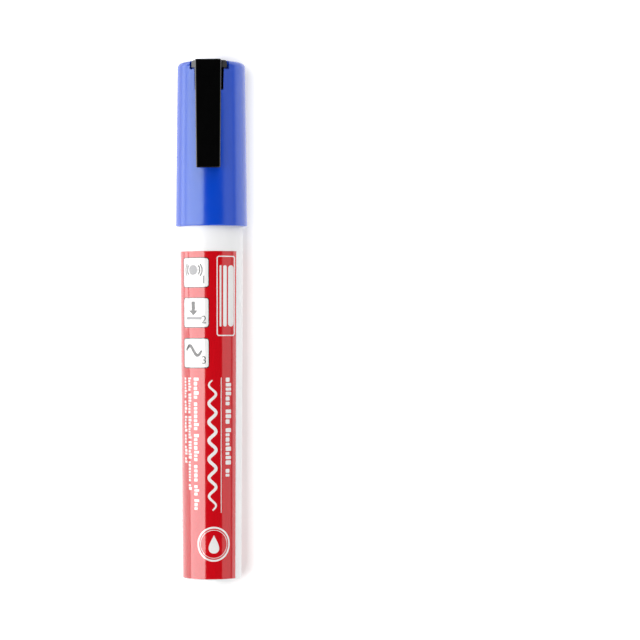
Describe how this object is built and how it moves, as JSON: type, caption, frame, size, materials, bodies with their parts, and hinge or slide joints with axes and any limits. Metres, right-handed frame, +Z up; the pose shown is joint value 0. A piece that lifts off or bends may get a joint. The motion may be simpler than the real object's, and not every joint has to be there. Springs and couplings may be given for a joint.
{
  "type": "liquid chalk marker",
  "caption": "Pump-action liquid chalk marker with a chisel nib: tapered white barrel in a glossy red wrap, round blue cap with a flat black clip, and a sprung valve and mixing ball inside.",
  "frame": {"origin": "on the marker's axis, at the centre of the flat rear face of the barrel", "axes": "+Y along the axis from the rear face to the cap's top, +Z up through the clip, as the marker lies in the picture"},
  "size_m": [0.0194, 0.14, 0.022],
  "materials": {
    "barrel_white": "moulded polypropylene, semi-gloss",
    "label_red": "glossy printed film",
    "collar_black": "moulded, satin",
    "holder_grey": "moulded, satin",
    "nib_felt": "bonded polyester felt",
    "valve_natural": "natural polypropylene",
    "seal_rubber": "soft rubber",
    "spring_steel": "drawn stainless wire",
    "ball_steel": "polished steel ball",
    "cap_blue": "moulded polypropylene, satin gloss",
    "liner_white": "soft moulded polyethylene",
    "clip_black": "moulded, matte"
  },
  "bodies": {
    "marker": {"barrel": "barrel_white", "label": "label_red", "front_collar": "collar_black", "nib_holder": "holder_grey", "valve_body": "valve_natural", "valve_retainer": "valve_natural", "valve_spring": "spring_steel"},
    "cap": {"cap_shell": "cap_blue", "inner_cap": "liner_white"},
    "clip": {"clip": "clip_black"},
    "nib": {"nib": "nib_felt"},
    "plunger": {"valve_stem": "valve_natural", "valve_seal": "seal_rubber"},
    "ball": {"mixing_ball": "ball_steel"}
  },
  "joints": [
    {"name": "cap_pull", "type": "slide", "parent": "marker", "child": "cap", "axis": [0, 1, 0], "range_m": [0, 0.045]},
    {"name": "clip_flex", "type": "hinge", "parent": "cap", "child": "clip", "pos_m": [0, 0.13905, 0.0088], "axis": [-1, 0, 0], "range_deg": [0, 5], "stiffness_Nm_per_rad": 0.6},
    {"name": "nib_press", "type": "slide", "parent": "marker", "child": "nib", "axis": [0, -1, 0], "range_m": [0, 0.002], "stiffness_N_per_m": 700, "springref_m": -0.002},
    {"name": "stem_press", "type": "slide", "parent": "marker", "child": "plunger", "axis": [0, -1, 0], "range_m": [0, 0.002], "deforming": ["valve_spring"]},
    {"name": "ball_roll", "type": "slide", "parent": "marker", "child": "ball", "axis": [0, 1, -0.0062], "range_m": [0, 0.0655]}
  ],
  "couplings": [
    {"joint": "stem_press", "follows": "nib_press", "ratio": 1}
  ]
}
